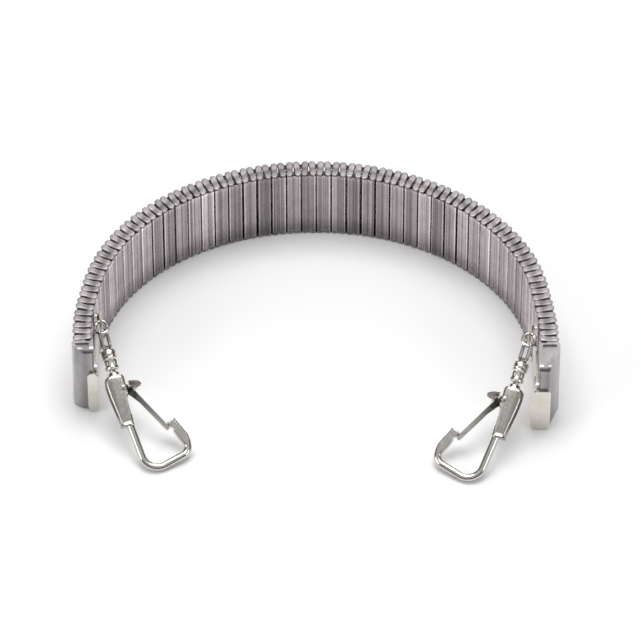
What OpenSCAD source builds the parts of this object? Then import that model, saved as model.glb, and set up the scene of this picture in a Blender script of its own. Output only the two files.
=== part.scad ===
// Stretch wrist band with a swivel lever hook on a ring at each end.
// Units are millimetres. The band stands on its edge on the plane z = 0,
// open towards -Y; +Z runs across the width of the band.

/* [Band] */
// width of the band, over the side clips
band_width = 19; // [17:0.5:22]
// half the width of the arc, at the middle of the band's thickness
arc_half_width = 47.2; // [44:0.2:50]
// depth of the arc, at the middle of the band's thickness
arc_depth = 38.7; // [36:0.1:41]
// distance from one outer sleeve to the next
pitch = 3.25; // [3.2:0.01:3.3]

/* [Sleeves and clips] */
// size of a sleeve along the band
sleeve_len = 2.9; // [2.7:0.02:2.94]
// thickness of a sleeve through the band
sleeve_t = 1.7; // [1.6:0.02:1.72]
// sheet thickness of a sleeve
sleeve_wall = 0.26; // [0.2:0.02:0.28]
// width of the side plate of a clip
clip_w = 1.3; // [1.1:0.05:1.36]
// radius of a clip leg
leg_r = 0.33; // [0.28:0.01:0.34]
// depth a clip leg reaches into a sleeve
leg_len = 4.2; // [3:0.1:5]

/* [Hooks] */
// slope of the hooks below level, degrees
hook_slope = 28.7; // [28.4:0.1:28.8]
// inward lean of the hook at the right end, degrees
lean_right = 19.5; // [18:0.5:24]
// inward lean of the hook at the left end, degrees
lean_left = 13; // [9:0.5:14]
// radius of the hook wire
wire_r = 0.76; // [0.7:0.01:0.78]

/* [Hidden] */
n_outer = 47;
seg_first = [0, 6, 13, 20, 27, 34, 41];   // first outer sleeve of each group
seg_count = [6, 7, 7, 7, 7, 7, 6];
row_gap = 0.24;
row_off = (sleeve_t + row_gap) / 2;       // a row's centre from the middle surface
side_t = 0.5;                             // side plate thickness
side_gap = 0.1;
hz = band_width / 2;
sleeve_h = band_width - 2 * side_t - 2 * side_gap;
y0_right = -7.4;                          // first outer sleeve, right end
lean_from = 183;                          // where the left end runs straight

// ---- the arc: t is an angle, in degrees, on an ellipse ----
ea = arc_half_width; eb = arc_depth;
function speed(t) = t < 0 ? eb * PI / 180 : t > lean_from ? speed_raw(lean_from) : speed_raw(t);
function speed_raw(t) = sqrt(pow(ea * sin(t), 2) + pow(eb * cos(t), 2)) * PI / 180;
function tang_raw(t) = [-ea * sin(t), eb * cos(t)] / norm([-ea * sin(t), eb * cos(t)]);
function tang(t) = t < 0 ? [0, 1] : t > lean_from ? tang_raw(lean_from) : tang_raw(t);
shift = [-0.21, -4.441];                  // brings the middle of the box to x = y = 0
function pt(t) = shift + (t < 0 ? [ea, eb * t * PI / 180]
    : t > lean_from ? [ea * cos(lean_from), eb * sin(lean_from)] + tang_raw(lean_from) * (t - lean_from) * speed_raw(lean_from)
    : [ea * cos(t), eb * sin(t)]);
qstep = pitch / 4;
t_first = y0_right / (eb * PI / 180);
nq = 4 * (n_outer - 1);
tq = [for (k = 0, t = t_first; k <= nq; t = t + qstep / speed(t + qstep / 2 / speed(t)), k = k + 1) t];
function t_at(q) = q < 0 ? tq[0] + q * qstep / speed(tq[0]) : q > nq ? tq[nq] + (q - nq) * qstep / speed(tq[nq]) : tq[q];
function heading(q) = atan2(tang(t_at(q))[1], tang(t_at(q))[0]);

// the last four links at each end step a little away from the wrist
splay = [1.3, 1.4];
function ramp(x) = x < 0 ? 0 : x > 1 ? 1 : x * x * (3 - 2 * x);
function slope_of(x) = x < 0 || x > 1 ? 0 : 6 * x * (1 - x);
function step_out(q) = splay[0] * ramp(1 - q / 16) + splay[1] * ramp((q - nq) / 16 + 1);
function step_turn(q) = atan((splay[0] * slope_of(1 - q / 16) - splay[1] * slope_of((q - nq) / 16 + 1)) / 16 / qstep);

// puts its children on the arc: x runs along the arc, -y away from the wrist side
module at_q(q) {
    p = pt(t_at(q));
    translate([p[0], p[1], hz]) rotate([0, 0, heading(q)]) translate([0, -step_out(q), 0]) rotate([0, 0, step_turn(q)]) children();
}

// ---- band pieces; in a piece's frame the outer side is -y ----
module sleeve_profile() {
    a = sleeve_len / 2; b = sleeve_t / 2; c = 0.34; d = 0.13;
    polygon([[-a, -b + c], [-a + d, -b + d], [-a + c, -b], [a - c, -b], [a - d, -b + d], [a, -b + c],
             [a, b - c], [a - d, b - d], [a - c, b], [-a + c, b], [-a + d, b - d], [-a, b - c]]);
}
module sleeve() {
    difference() {
        translate([0, 0, -sleeve_h / 2]) linear_extrude(sleeve_h) sleeve_profile();
        translate([0, 0, -sleeve_h]) linear_extrude(2 * sleeve_h)
            square([sleeve_len - 2 * sleeve_wall, sleeve_t - 2 * sleeve_wall], center = true);
    }
}
module outer_sleeves(k) {
    color([0.60, 0.57, 0.60]) for (i = [seg_first[k] : seg_first[k] + seg_count[k] - 1])
        at_q(4 * i) translate([0, -row_off, 0]) sleeve();
}
module inner_sleeves(k) {
    n = k == 6 ? seg_count[k] - 1 : seg_count[k];
    color([0.55, 0.52, 0.55]) for (i = [seg_first[k] : seg_first[k] + n - 1])
        at_q(4 * i + 2) translate([0, row_off, 0]) sleeve();
}
// a clip: a side plate and two round legs, at the top edge
module clip_top(d1 = 0, d2 = 0) {
    r = clip_w / 2;
    translate([0, 0, sleeve_h / 2 + side_gap]) {
        translate([-r, -row_off + 0.02, 0]) cube([clip_w, 2 * row_off - 0.04, side_t]);
        translate([0, -row_off + 0.02, 0]) cylinder(r = r, h = side_t, $fn = 48);
        translate([0, row_off - 0.02, 0]) cylinder(r = r, h = side_t, $fn = 48);
    }
    for (s = [-1, 1]) translate([0, s * row_off, sleeve_h / 2 + side_gap - leg_len])
        cylinder(r = leg_r, h = leg_len + 0.1, $fn = 24);
}
module clip_pair() { clip_top(); mirror([0, 0, 1]) clip_top(); }
module side_clips(k) {
    n = k == 6 ? seg_count[k] - 1 : seg_count[k];
    color([0.66, 0.66, 0.66]) {
        for (i = [seg_first[k] : seg_first[k] + n - 1]) at_q(4 * i + 1) clip_pair();
        for (i = [seg_first[k] : seg_first[k] + seg_count[k] - 2]) at_q(4 * i + 3) clip_pair();
        if (k == 0) at_q(-1) clip_pair();
        if (k == 6) at_q(4 * (n_outer - 1) + 1) clip_pair();
    }
}
module link_clips(k) {
    color([0.70, 0.70, 0.69]) at_q(4 * (seg_first[k] - 1) + 3) clip_pair();
}
// a bowed leaf spring lying in a sleeve, pressing on the clip legs
module leaf() {
    top = sleeve_t / 2 - sleeve_wall - 0.03; th = 0.12; dip = 2 * top - th - 0.03;
    h = sleeve_h / 2 - 0.4; f = sleeve_h / 2 - leg_len + 0.2; n = 8;
    function yy(z) = abs(z) >= f ? 0 : -dip * (1 + cos(180 * z / f)) / 2;
    zs = concat([-h], [for (j = [0 : n]) -f + 2 * f * j / n], [h]);
    rotate([0, 90, 0]) translate([0, 0, -0.95]) linear_extrude(1.9)
        polygon(concat([for (z = zs) [z, top + yy(z)]], [for (j = [len(zs) - 1 : -1 : 0]) [zs[j], top + yy(zs[j]) - th]]));
}
module leaf_springs(k) {
    n = k == 6 ? seg_count[k] - 1 : seg_count[k];
    color([0.80, 0.78, 0.70]) {
        for (i = [seg_first[k] : seg_first[k] + seg_count[k] - 1]) at_q(4 * i) translate([0, -row_off, 0]) leaf();
        for (i = [seg_first[k] : seg_first[k] + n - 1]) at_q(4 * i + 2) translate([0, row_off, 0]) leaf();
    }
}

// ---- end pieces: x runs on past the last sleeve, +y away from the wrist, z up ----
module at_right() { p = pt(t_at(0)); translate([p[0], p[1], hz]) rotate([0, 0, heading(0) + 180]) translate([0, splay[0], 0]) children(); }
module at_left() { p = pt(t_at(nq)); translate([p[0], p[1], hz]) rotate([0, 0, heading(nq)]) mirror([0, 1, 0]) translate([0, splay[1], 0]) children(); }

// side: 0 right, 1 left
plate_end = [9.3, 5.0];                   // where the end plate ends
hole_x = [-2.3, -5.0];                    // where the ring's ear stands
ring_R = 1.3; ring_r = 0.33; hole_r = 0.42;
ear_y = [-3.6, -3.8];
lean = [lean_right, lean_left];
in_face = -2.05;                          // wrist-side face of the end plate
ear_z = 16.62 - 9.5;                      // height of the ear's hole above the middle

module end_plate(s) {
    e = plate_end[s]; k = s == 0 ? 3.8 : 2.9; o = 2.4;
    color([0.62, 0.60, 0.62]) difference() {
        translate([0, 0, -hz]) linear_extrude(2 * hz)
            polygon([[0.18, in_face + 0.25], [0.43, in_face], [e - 0.3, in_face], [e, in_face + 0.3], [e, -0.2], [e - 0.2, 0.15],
                     [k + 0.5, o - 0.25], [k, o], [2.2, o], [1.85, o - 0.35], [1.85, 0.2], [1.5, -0.12], [0.43, -0.12], [0.18, -0.4]]);
        // sleeve bore for the last clip's legs
        translate([0.42, -row_off - 0.59, -hz - 1]) cube([1.64, 1.18, 2 * hz + 2]);
        // room for the last clip's side plates
        for (m = [0, 1]) mirror([0, 0, m]) translate([-1, -3, sleeve_h / 2]) cube([2.7, 4.7, 3]);
        // hollow fold
        translate([0, 0, -hz - 1]) linear_extrude(2 * hz + 2)
            polygon([[2.5, -1.2], [e - 0.6, -1.2], [e - 0.6, -0.4], [k + 0.1, o - 0.75], [2.5, o - 0.6]]);
        // rounded corners, top and bottom
        for (m = [0, 1]) mirror([0, 0, m]) translate([e - 1.4, -5, hz - 1.4]) difference() {
            cube([3, 10, 3]);
            translate([0, -1, 0]) rotate([-90, 0, 0]) cylinder(r = 1.4, h = 12, $fn = 48);
        }
        // rivet holes
        for (z = [-6.5, -1.5]) translate([3.0, -4, z]) rotate([-90, 0, 0]) cylinder(r = 0.5, h = 3, $fn = 32);
    }
}
// bright inner plate with the ear that carries the ring
module inner_plate(s) {
    e = plate_end[s]; h = hole_x[s]; a = lean[s]; t = 0.48; yf = in_face - 0.02; z1 = 3.4; ey = ear_y[s];
    j = s == 0 ? 0.42 : 0.86;              // how far its tail leans in, clear of the stepped links
    function yj(x) = yf - j * (-0.9 - x) / (1.0 - h);
    color([0.86, 0.84, 0.80]) difference() {
        union() {
            translate([0, yf, 0]) rotate([90, 0, 0]) linear_extrude(t)
                polygon([[-0.9, -hz + 0.2], [e + 0.1, -hz + 0.2], [e + 0.1, z1 - 1.2], [e - 1.0, z1], [-0.9, z1]]);
            // tail, with the strap up to the ear
            translate([0, 0, -hz + 0.2]) linear_extrude(z1 + hz - 0.2)
                polygon([[-0.8, yf], [-0.9, yf], [h - 1.9, yj(h - 1.9)], [h - 1.9, yj(h - 1.9) - t], [-0.9, yf - t], [-0.8, yf - t]]);
            translate([0, 0, z1 - 0.5]) linear_extrude(ear_z + 1.7 - z1)
                polygon([[h - 0.5, yj(h - 0.5)], [h - 1.9, yj(h - 1.9)], [h - 1.9, yj(h - 1.9) - t], [h - 0.5, yj(h - 0.5) - t]]);
            // front flange
            translate([0, 0, -hz + 0.2]) linear_extrude(z1 - 1.2 + hz - 0.2)
                polygon([[e + 0.05, yf - t], [e + 0.53, yf - t + 0.2], [e + 0.53, 0.9], [e + 0.05, 0.9]]);
            translate([e + 0.05, -1.9, -hz]) cube([0.48, 2.2, 0.4]);
            // ear
            translate([0, 0, ear_z - 1.1]) linear_extrude(2.3) polygon([
                [h - 1.9, yj(h - 1.9) - 0.1], [h - 1.9, ey - 0.25], [h, ey - 0.25], [h + 0.85 * cos(a) - 0.25 * sin(a), ey - 0.85 * sin(a) - 0.25 * cos(a)],
                [h + 0.85 * cos(a) + 0.25 * sin(a), ey - 0.85 * sin(a) + 0.25 * cos(a)], [h - 0.85, ey + 0.25], [h - 1.4, ey + 0.5], [h - 1.4, yj(h - 1.4) - 0.1]]);
        }
        // hole for the ring
        translate([h, ey, ear_z]) rotate([0, 0, -a]) rotate([90, 0, 0]) translate([0, 0, -0.5]) cylinder(r = hole_r, h = 1.2, $fn = 32);
        for (z = [-6.5, -1.5]) translate([3.0, -4, z]) rotate([-90, 0, 0]) cylinder(r = 0.5, h = 3, $fn = 32);
    }
}
module plate_rivets() {
    color([0.75, 0.74, 0.70]) for (z = [-6.5, -1.5]) translate([3.0, in_face - 0.5, z]) rotate([-90, 0, 0]) {
        translate([0, 0, -0.3]) cylinder(r = 0.8, h = 0.3, $fn = 32);
        translate([0, 0, -0.05]) cylinder(r = 0.49, h = 1.4, $fn = 32);
    }
}

// ---- hook frame: x runs from the ring's centre to the hook's nose, y to the gate side ----
module hook_frame(s) {
    u = [cos(hook_slope) * cos(lean[s]), -cos(hook_slope) * sin(lean[s]), -sin(hook_slope)];
    translate([hole_x[s], ear_y[s], ear_z] + ring_R * u) rotate([180, hook_slope, -lean[s]]) children();
}
module ring() { color([0.78, 0.78, 0.76]) rotate_extrude($fn = 64) translate([ring_R, 0]) circle(r = ring_r, $fn = 24); }

eye_turn = 48;                            // turn of the eye about the hook's axis
module swivel_eye() {
    color([0.80, 0.79, 0.76]) {
        rotate([eye_turn, 0, 0]) translate([0, 0, -0.3]) linear_extrude(0.6) difference() {
            polygon([[0.34, -1.25], [0.75, -1.65], [4.4, -1.65], [4.9, -1.2], [4.9, 1.2], [4.4, 1.65], [0.75, 1.65], [0.34, 1.25]]);
            polygon([[0.78, -0.95], [0.95, -1.1], [3.7, -1.1], [4.0, -0.8], [4.0, 0.8], [3.7, 1.1], [0.95, 1.1], [0.78, 0.95]]);
        }
        // post with its head inside the hook body
        translate([4.5, 0, 0]) rotate([0, 90, 0]) {
            cylinder(r = 0.62, h = 7.2, $fn = 32);
            translate([0, 0, 7.05]) cylinder(r = 0.86, h = 0.6, $fn = 32);
        }
    }
}
module swivel_collar() {
    color([0.88, 0.86, 0.80]) rotate([0, 90, 0]) rotate_extrude($fn = 64)
        polygon([[0.63, 5.0], [1.25, 5.0], [1.6, 5.25], [1.6, 6.9], [1.3, 7.1], [1.3, 8.5], [1.5, 8.65], [1.5, 9.2], [1.2, 9.4], [0.63, 9.4]]);
}
piv = [13.6, 1.1];                        // gate pivot
module hook_body() {
    color([0.74, 0.73, 0.71]) difference() {
        union() {
            translate([0, 0, -1.35]) linear_extrude(2.7)
                polygon([[10.5, -1.2], [11.1, -1.8], [15, -1.78], [21.3, -1.4], [21.7, -1.0], [21.7, 1.4], [21.3, 1.8], [16, 1.9], [11.1, 1.9], [10.5, 1.2]]);
            translate([9.9, 0, 0]) rotate([0, 90, 0]) cylinder(r = 1.15, h = 0.8, $fn = 32);
        }
        translate([0, 0, -0.95]) linear_extrude(1.9)
            polygon([[11.5, -1.3], [20.3, -1.05], [20.3, 3], [12.4, 3], [12.2, 1.35], [11.5, 1.35]]);
        translate([9, 0, 0]) rotate([0, 90, 0]) cylinder(r = 0.67, h = 3, $fn = 32);
        translate([piv[0], piv[1], -3]) cylinder(r = 0.38, h = 6, $fn = 32);
        translate([19, 0.47, 0]) rotate([0, 90, 6]) cylinder(r = wire_r, h = 4, $fn = 48);
        // mouth trimmed low where the gate arm leaves
        translate([0, 0, -2]) linear_extrude(4) polygon([[14.6, 3], [15.4, 1.3], [20, 1.3], [20.8, 3]]);
    }
}
// hook wire: straight shank, rounded foot, bend and flattened nose
v0 = [19.0, 0.42]; v1 = [32.5, 1.85]; v2 = [29.5, 12.1]; v3 = [24.6, 9.75];
f1 = 3.3; f2 = 1.9;
function unit(a) = a / norm(a);
function ang(a) = atan2(a[1], a[0]);
function tan_len(a, b, c, r) = r / tan(acos(unit(a - b) * unit(c - b)) / 2);
function centre(a, b, c, r) = b + unit(unit(a - b) + unit(c - b)) * r / sin(acos(unit(a - b) * unit(c - b)) / 2);
module rod(a, b) { translate([a[0], a[1], 0]) rotate([0, 0, ang(b - a)]) rotate([0, 90, 0]) cylinder(r = wire_r - 0.02, h = norm(b - a), $fn = 96); }
module bend(a, b, c, r) {
    o = centre(a, b, c, r); p = b + unit(a - b) * tan_len(a, b, c, r); q = b + unit(c - b) * tan_len(a, b, c, r);
    a1 = ang(p - o); sweep = (ang(q - o) - a1 + 720) % 360;
    translate([o[0], o[1], 0]) rotate([0, 0, a1]) rotate_extrude(angle = sweep, $fn = 96) translate([r, 0]) circle(r = wire_r, $fn = 48);
}
module hook_wire() {
    t1 = tan_len(v0, v1, v2, f1) - 0.1; t2 = tan_len(v1, v2, v3, f2) - 0.1;
    color([0.80, 0.80, 0.79]) {
        rod(v0, v1 + unit(v0 - v1) * t1);
        bend(v0, v1, v2, f1);
        rod(v1 + unit(v2 - v1) * t1, v2 + unit(v1 - v2) * t2);
        bend(v1, v2, v3, f2);
        rod(v2 + unit(v3 - v2) * t2, v3 + unit(v3 - v2) * -0.9);
        translate([0, 0, -0.82]) linear_extrude(1.64)
            polygon([[27.4, 10.2], [28.1, 11.2], [27.3, 12.15], [26.2, 11.95], [22.4, 10.2], [22.2, 9.7], [22.45, 8.45], [23.2, 8.3], [24.1, 9.2], [25.7, 9.6]]);
    }
}
module gate() {
    color([0.50, 0.50, 0.50]) difference() {
        union() {
            translate([piv[0], piv[1], -0.5]) cylinder(r = 0.92, h = 1.0, $fn = 48);
            translate([0, 0, -0.5]) linear_extrude(1.0)
                polygon([[13.1, 1.3], [12.95, 2.3], [14.5, 3.3], [23.0, 8.12], [23.9, 8.52], [24.3, 8.2], [24.15, 7.85], [17.2, 3.85], [15.3, 2.3], [14.4, 1.2]]);
            // thumb tab
            translate([13.4, 2.15, 0]) rotate([0, 58, 0]) translate([0, 0, -0.25]) {
                translate([-0.7, 0, 0]) cube([1.4, 0.9, 0.5]);
                difference() {
                    translate([0, 0.7, 0]) cylinder(r = 1.9, h = 0.5, $fn = 64);
                    translate([-3, -2.3, -1]) cube([6, 3, 3]);
                }
            }
        }
        translate([piv[0], piv[1], -3]) cylinder(r = 0.42, h = 6, $fn = 32);
    }
}
module gate_pin() {
    color([0.66, 0.65, 0.63]) translate([piv[0], piv[1], 0]) {
        translate([0, 0, -1.5]) cylinder(r = 0.37, h = 3.0, $fn = 32);
        for (m = [0, 1]) mirror([0, 0, m]) translate([0, 0, 1.37]) cylinder(r = 0.62, h = 0.22, $fn = 32);
    }
}
module gate_spring() {
    color([0.45, 0.45, 0.46]) translate([piv[0], piv[1], 0.72]) {
        rotate_extrude($fn = 48) translate([0.64, 0]) circle(r = 0.13, $fn = 16);
        translate([0.2, -0.6, 0]) rotate([0, 90, -12]) cylinder(r = 0.1, h = 2.9, $fn = 16);
        translate([0.25, 0.55, 0]) rotate([0, 90, 45]) cylinder(r = 0.1, h = 1.8, $fn = 16);
    }
}

outer_sleeves(0);  // outer_sleeves_1
outer_sleeves(1);  // outer_sleeves_2
outer_sleeves(2);  // outer_sleeves_3
outer_sleeves(3);  // outer_sleeves_4
outer_sleeves(4);  // outer_sleeves_5
outer_sleeves(5);  // outer_sleeves_6
outer_sleeves(6);  // outer_sleeves_7
inner_sleeves(0);  // inner_sleeves_1
inner_sleeves(1);  // inner_sleeves_2
inner_sleeves(2);  // inner_sleeves_3
inner_sleeves(3);  // inner_sleeves_4
inner_sleeves(4);  // inner_sleeves_5
inner_sleeves(5);  // inner_sleeves_6
inner_sleeves(6);  // inner_sleeves_7
side_clips(0);  // side_clips_1
side_clips(1);  // side_clips_2
side_clips(2);  // side_clips_3
side_clips(3);  // side_clips_4
side_clips(4);  // side_clips_5
side_clips(5);  // side_clips_6
side_clips(6);  // side_clips_7
leaf_springs(0);  // leaf_springs_1
leaf_springs(1);  // leaf_springs_2
leaf_springs(2);  // leaf_springs_3
leaf_springs(3);  // leaf_springs_4
leaf_springs(4);  // leaf_springs_5
leaf_springs(5);  // leaf_springs_6
leaf_springs(6);  // leaf_springs_7
link_clips(1);  // link_clips_1
link_clips(2);  // link_clips_2
link_clips(3);  // link_clips_3
link_clips(4);  // link_clips_4
link_clips(5);  // link_clips_5
link_clips(6);  // link_clips_6
at_right() end_plate(0);  // right_end_plate
at_right() inner_plate(0);  // right_inner_plate
at_right() plate_rivets();  // right_plate_rivets
at_right() hook_frame(0) ring();  // right_ring
at_right() hook_frame(0) swivel_eye();  // right_swivel_eye
at_right() hook_frame(0) swivel_collar();  // right_swivel_collar
at_right() hook_frame(0) hook_body();  // right_hook_body
at_right() hook_frame(0) hook_wire();  // right_hook_wire
at_right() hook_frame(0) gate();  // right_gate
at_right() hook_frame(0) gate_pin();  // right_gate_pin
at_right() hook_frame(0) gate_spring();  // right_gate_spring
at_left() end_plate(1);  // left_end_plate
at_left() inner_plate(1);  // left_inner_plate
at_left() plate_rivets();  // left_plate_rivets
at_left() hook_frame(1) ring();  // left_ring
at_left() hook_frame(1) swivel_eye();  // left_swivel_eye
at_left() hook_frame(1) swivel_collar();  // left_swivel_collar
at_left() hook_frame(1) hook_body();  // left_hook_body
at_left() hook_frame(1) hook_wire();  // left_hook_wire
at_left() hook_frame(1) gate();  // left_gate
at_left() hook_frame(1) gate_pin();  // left_gate_pin
at_left() hook_frame(1) gate_spring();  // left_gate_spring
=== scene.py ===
import math
import random

import bpy
import bmesh
import numpy as np
from mathutils import Matrix, Vector


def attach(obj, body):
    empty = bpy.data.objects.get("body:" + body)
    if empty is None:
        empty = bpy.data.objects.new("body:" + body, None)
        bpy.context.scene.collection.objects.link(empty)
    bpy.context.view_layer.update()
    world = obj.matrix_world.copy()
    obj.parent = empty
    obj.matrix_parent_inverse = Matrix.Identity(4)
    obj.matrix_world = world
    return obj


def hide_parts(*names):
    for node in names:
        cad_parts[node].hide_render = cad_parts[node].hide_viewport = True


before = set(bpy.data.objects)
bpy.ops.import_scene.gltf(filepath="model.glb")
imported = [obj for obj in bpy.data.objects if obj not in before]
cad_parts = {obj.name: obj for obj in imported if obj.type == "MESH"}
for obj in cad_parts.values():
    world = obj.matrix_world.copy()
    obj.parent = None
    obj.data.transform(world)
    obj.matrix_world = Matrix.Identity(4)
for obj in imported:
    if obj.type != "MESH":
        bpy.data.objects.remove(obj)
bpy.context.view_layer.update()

R = math.radians
PI = math.pi

# ------------------------------------------------------------------ the layout, in millimetres
EA, EB = 47.2, 38.7                      # half-axes of the arc
PITCH, N_OUTER = 3.25, 47
SL, ST, WALL = 2.9, 1.7, 0.26            # sleeve: along the band, through it, sheet
ROW, HZ, SH = 0.97, 9.5, 17.8            # row offset, mid-height, sleeve height
SIDE_GAP, SIDE_T, LEG_R, LEG_LEN = 0.1, 0.5, 0.33, 4.2
LEAN_FROM = 183.0
SHIFT = np.array([-0.21, -4.441])
SEG_FIRST = [0, 6, 13, 20, 27, 34, 41]
SEG_COUNT = [6, 7, 7, 7, 7, 7, 6]
LEAN = [19.5, 13.0]
SPLAY = [1.3, 1.4]
SLOPE = 28.7
HOLE_X = [-2.3, -5.0]
EAR_Y, EAR_Z = [-3.6, -3.8], 7.12
RING_R, RING_WIRE = 1.3, 0.38
PLATE_END = [9.3, 5.0]
IN_FACE = -2.05
SIDES = ["right", "left"]


def speed_raw(t):
    return math.hypot(EA * math.sin(R(t)), EB * math.cos(R(t))) * PI / 180


def speed(t):
    return EB * PI / 180 if t < 0 else speed_raw(min(t, LEAN_FROM))


def tang_raw(t):
    v = np.array([-EA * math.sin(R(t)), EB * math.cos(R(t))])
    return v / np.linalg.norm(v)


def tang(t):
    return np.array([0.0, 1.0]) if t < 0 else tang_raw(min(t, LEAN_FROM))


def pt(t):
    if t < 0:
        p = np.array([EA, EB * t * PI / 180])
    elif t > LEAN_FROM:
        p = np.array([EA * math.cos(R(LEAN_FROM)), EB * math.sin(R(LEAN_FROM))])
        p = p + tang_raw(LEAN_FROM) * (t - LEAN_FROM) * speed_raw(LEAN_FROM)
    else:
        p = np.array([EA * math.cos(R(t)), EB * math.sin(R(t))])
    return p + SHIFT


QS = PITCH / 4
NQ = 4 * (N_OUTER - 1)
TQ = []
_t = -7.4 / (EB * PI / 180)
for _k in range(NQ + 1):
    TQ.append(_t)
    _t = _t + QS / speed(_t + QS / 2 / speed(_t))


def t_at(q):
    if q < 0:
        return TQ[0] + q * QS / speed(TQ[0])
    if q > NQ:
        return TQ[NQ] + (q - NQ) * QS / speed(TQ[NQ])
    return TQ[q]


def heading(q):
    v = tang(t_at(q))
    return math.degrees(math.atan2(v[1], v[0]))


def T(x, y, z):
    m = np.eye(4)
    m[:3, 3] = (x, y, z)
    return m


def RX(a):
    c, s = math.cos(R(a)), math.sin(R(a))
    return np.array([[1, 0, 0, 0], [0, c, -s, 0], [0, s, c, 0], [0, 0, 0, 1.0]])


def RY(a):
    c, s = math.cos(R(a)), math.sin(R(a))
    return np.array([[c, 0, s, 0], [0, 1, 0, 0], [-s, 0, c, 0], [0, 0, 0, 1.0]])


def RZ(a):
    c, s = math.cos(R(a)), math.sin(R(a))
    return np.array([[c, -s, 0, 0], [s, c, 0, 0], [0, 0, 1, 0], [0, 0, 0, 1.0]])


def ramp(x):
    x = min(1, max(0, x))
    return x * x * (3 - 2 * x)


def slope_of(x):
    return 0 if x < 0 or x > 1 else 6 * x * (1 - x)


def at_q(q):
    p = pt(t_at(q))
    a, b = 1 - q / 16, (q - NQ) / 16 + 1
    out = SPLAY[0] * ramp(a) + SPLAY[1] * ramp(b)
    turn = math.degrees(math.atan((SPLAY[0] * slope_of(a) - SPLAY[1] * slope_of(b)) / 16 / QS))
    return T(p[0], p[1], HZ) @ RZ(heading(q)) @ T(0, -out, 0) @ RZ(turn)


def at_end(s):
    if s == 0:
        p = pt(t_at(0))
        return T(p[0], p[1], HZ) @ RZ(heading(0) + 180) @ T(0, SPLAY[0], 0)
    p = pt(t_at(NQ))
    return T(p[0], p[1], HZ) @ RZ(heading(NQ)) @ np.diag([1.0, -1.0, 1.0, 1.0]) @ T(0, SPLAY[1], 0)


def at_hook(s):
    u = np.array([math.cos(R(SLOPE)) * math.cos(R(LEAN[s])), -math.cos(R(SLOPE)) * math.sin(R(LEAN[s])), -math.sin(R(SLOPE))])
    c = np.array([HOLE_X[s], EAR_Y[s], EAR_Z]) + RING_R * u
    return at_end(s) @ T(*c) @ RZ(-LEAN[s]) @ RY(SLOPE) @ RX(180)


# ------------------------------------------------------------------ mesh tools
class Shell:
    """Vertices in millimetres, with a tone (0.5 is plain) and a value at each that mixes the colour towards near-black.
    Tone above or below 0.5 carries random tone and also painted highlights and painted shade. The near-black mix is
    painted shade in recesses and on tucked-in parts, broken into spots by noise.
    """

    def __init__(self):
        self.v, self.f, self.tone, self.shade_and_grime = [], [], [], []

    def add(self, verts, faces, m=None, tone=0.5, shade_and_grime=0.0):
        verts = np.asarray(verts, float).reshape(-1, 3)
        base = sum(len(x) for x in self.v)
        flip = False
        if m is not None:
            verts = verts @ m[:3, :3].T + m[:3, 3]
            flip = np.linalg.det(m[:3, :3]) < 0
        n = len(verts)
        self.v.append(verts)
        self.tone.append(np.broadcast_to(np.asarray(tone, float), (n,)).copy())
        self.shade_and_grime.append(np.broadcast_to(np.asarray(shade_and_grime, float), (n,)).copy())
        for f in faces:
            g = [base + i for i in f]
            self.f.append(g[::-1] if flip else g)

    def build(self, name, mat, body, nodes, slot, bevel=None, angle=35, segments=3, sharp=None, weighted=False):
        v = np.concatenate(self.v) * 0.001
        me = bpy.data.meshes.new(name)
        me.from_pydata(v.tolist(), [], self.f)
        me.validate()
        me.update()
        me.polygons.foreach_set("use_smooth", [True] * len(me.polygons))
        for key, data in (("tone", self.tone), ("shade_and_grime", self.shade_and_grime)):
            a = me.attributes.new(key, "FLOAT", "POINT")
            a.data.foreach_set("value", np.concatenate(data).astype(np.float32))
        if sharp is not None:
            me.set_sharp_from_angle(angle=R(sharp))
        me.materials.append(mat)
        o = bpy.data.objects.new(name, me)
        bpy.context.scene.collection.objects.link(o)
        if bevel:
            b = o.modifiers.new("edges", "BEVEL")
            b.width = bevel * 0.001
            b.segments = segments
            b.limit_method = "ANGLE"
            b.angle_limit = R(angle)
            b.harden_normals = True
            b.use_clamp_overlap = True
            b.miter_outer = "MITER_ARC"
        if weighted:
            w = o.modifiers.new("normals", "WEIGHTED_NORMAL")
            w.keep_sharp = True
        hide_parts(*nodes)
        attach(o, body)
        return o


def loft(rings, cap0=True, cap1=True, closed=False):
    """Quads between rings of equal length; the rings turn anticlockwise seen against the direction of travel."""
    n = len(rings[0])
    verts = np.concatenate([np.asarray(r, float) for r in rings])
    faces = []
    m = len(rings)
    for i in range(m if closed else m - 1):
        a, b = i * n, ((i + 1) % m) * n
        for j in range(n):
            k = (j + 1) % n
            faces.append([a + j, a + k, b + k, b + j])
    if not closed:
        if cap0:
            faces.append([j for j in range(n)][::-1])
        if cap1:
            faces.append([(m - 1) * n + j for j in range(n)])
    return verts, faces


def revolve_x(profile, seg=64, closed=True):
    """A closed (r, x) profile turned about the x axis."""
    rings = []
    for k in range(seg):
        a = 2 * PI * k / seg
        rings.append([(x, r * math.cos(a), r * math.sin(a)) for r, x in profile])
    return loft(rings, closed=True)


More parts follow.
